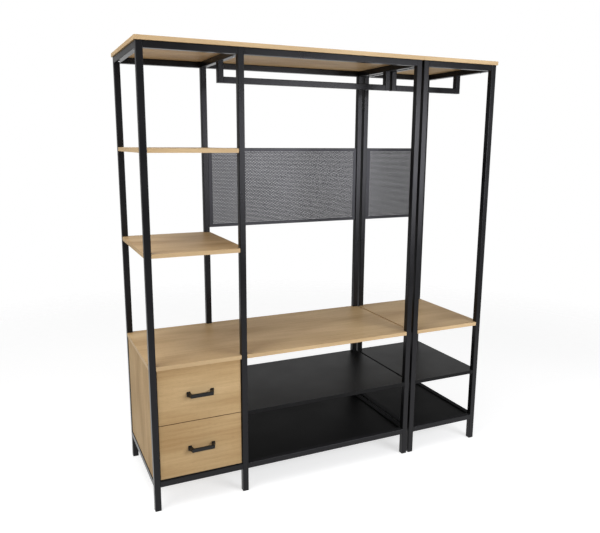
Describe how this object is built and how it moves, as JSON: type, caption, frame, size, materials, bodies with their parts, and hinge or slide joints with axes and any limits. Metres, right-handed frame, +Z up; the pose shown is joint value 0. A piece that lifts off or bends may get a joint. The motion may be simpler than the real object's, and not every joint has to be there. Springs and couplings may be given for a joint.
{
  "type": "open frame wardrobe",
  "caption": "Open wardrobe of black square-tube frames with oak-look boards: a drawer tower, hanging bays with drop rails, perforated backs, bench shelf and shoe shelves.",
  "frame": {"origin": "on the floor, under the middle of the overall box with the drawer pulls", "axes": "+X to the right as one faces the front, the front faces -Y, +Z up"},
  "size_m": [1.5924, 0.544, 1.8],
  "materials": {
    "black_tube": "satin powder coat",
    "oak_board": "matt oak decor",
    "black_board": "satin black decor",
    "black_sheet": "satin powder coat",
    "drawer_board": "matt grey-beige decor",
    "pull_metal": "matt black",
    "slide_steel": "zinc plated",
    "screw_steel": "black zinc",
    "hidden_steel": "plain steel",
    "foot_plastic": "matt"
  },
  "bodies": {
    "frame": {"wide_left_frame": "black_tube", "wide_middle_frame": "black_tube", "wide_right_frame": "black_tube", "narrow_left_frame": "black_tube", "narrow_right_frame": "black_tube", "tower_top_front_rail": "black_tube", "tower_top_back_rail": "black_tube", "tower_bottom_front_rail": "black_tube", "tower_bottom_back_rail": "black_tube", "hanging_top_front_rail": "black_tube", "hanging_top_back_rail": "black_tube", "hanging_bottom_front_rail": "black_tube", "hanging_bottom_back_rail": "black_tube", "narrow_top_front_rail": "black_tube", "narrow_top_back_rail": "black_tube", "narrow_bottom_front_rail": "black_tube", "narrow_bottom_back_rail": "black_tube", "wide_hanging_rail": "black_tube", "narrow_hanging_rail": "black_tube", "wide_top_board": "oak_board", "narrow_top_board": "oak_board", "upper_shelf": "oak_board", "lower_shelf": "oak_board", "wide_bench_shelf": "oak_board", "narrow_bench_shelf": "oak_board", "case_left_side": "oak_board", "case_right_side": "oak_board", "wide_shoe_shelf": "black_board", "narrow_shoe_shelf": "black_board", "wide_bottom_panel": "black_sheet", "narrow_bottom_panel": "black_sheet", "wide_mesh_panel": "black_sheet", "narrow_mesh_panel": "black_sheet", "case_back": "drawer_board", "upper_case_slides": "slide_steel", "lower_case_slides": "slide_steel", "top_board_screws": "screw_steel", "shelf_studs": "hidden_steel", "rail_spigots": "hidden_steel", "feet": "foot_plastic"},
    "upper_drawer": {"upper_drawer_front": "oak_board", "upper_drawer_left_side": "drawer_board", "upper_drawer_right_side": "drawer_board", "upper_drawer_back": "drawer_board", "upper_drawer_bottom": "drawer_board", "upper_drawer_pull": "pull_metal", "upper_pull_screws": "screw_steel", "upper_drawer_slides": "slide_steel"},
    "upper_slide_middle": {"upper_middle_slides": "slide_steel"},
    "lower_drawer": {"lower_drawer_front": "oak_board", "lower_drawer_left_side": "drawer_board", "lower_drawer_right_side": "drawer_board", "lower_drawer_back": "drawer_board", "lower_drawer_bottom": "drawer_board", "lower_drawer_pull": "pull_metal", "lower_pull_screws": "screw_steel", "lower_drawer_slides": "slide_steel"},
    "lower_slide_middle": {"lower_middle_slides": "slide_steel"}
  },
  "joints": [
    {"name": "upper_drawer_slide", "type": "slide", "parent": "frame", "child": "upper_drawer", "axis": [0, -1, 0], "range_m": [0, 0.4]},
    {"name": "upper_middle_slide", "type": "slide", "parent": "frame", "child": "upper_slide_middle", "axis": [0, -1, 0], "range_m": [0, 0.2]},
    {"name": "lower_drawer_slide", "type": "slide", "parent": "frame", "child": "lower_drawer", "axis": [0, -1, 0], "range_m": [0, 0.4]},
    {"name": "lower_middle_slide", "type": "slide", "parent": "frame", "child": "lower_slide_middle", "axis": [0, -1, 0], "range_m": [0, 0.2]}
  ],
  "couplings": [
    {"joint": "upper_middle_slide", "follows": "upper_drawer_slide", "ratio": 0.5},
    {"joint": "lower_middle_slide", "follows": "lower_drawer_slide", "ratio": 0.5}
  ]
}
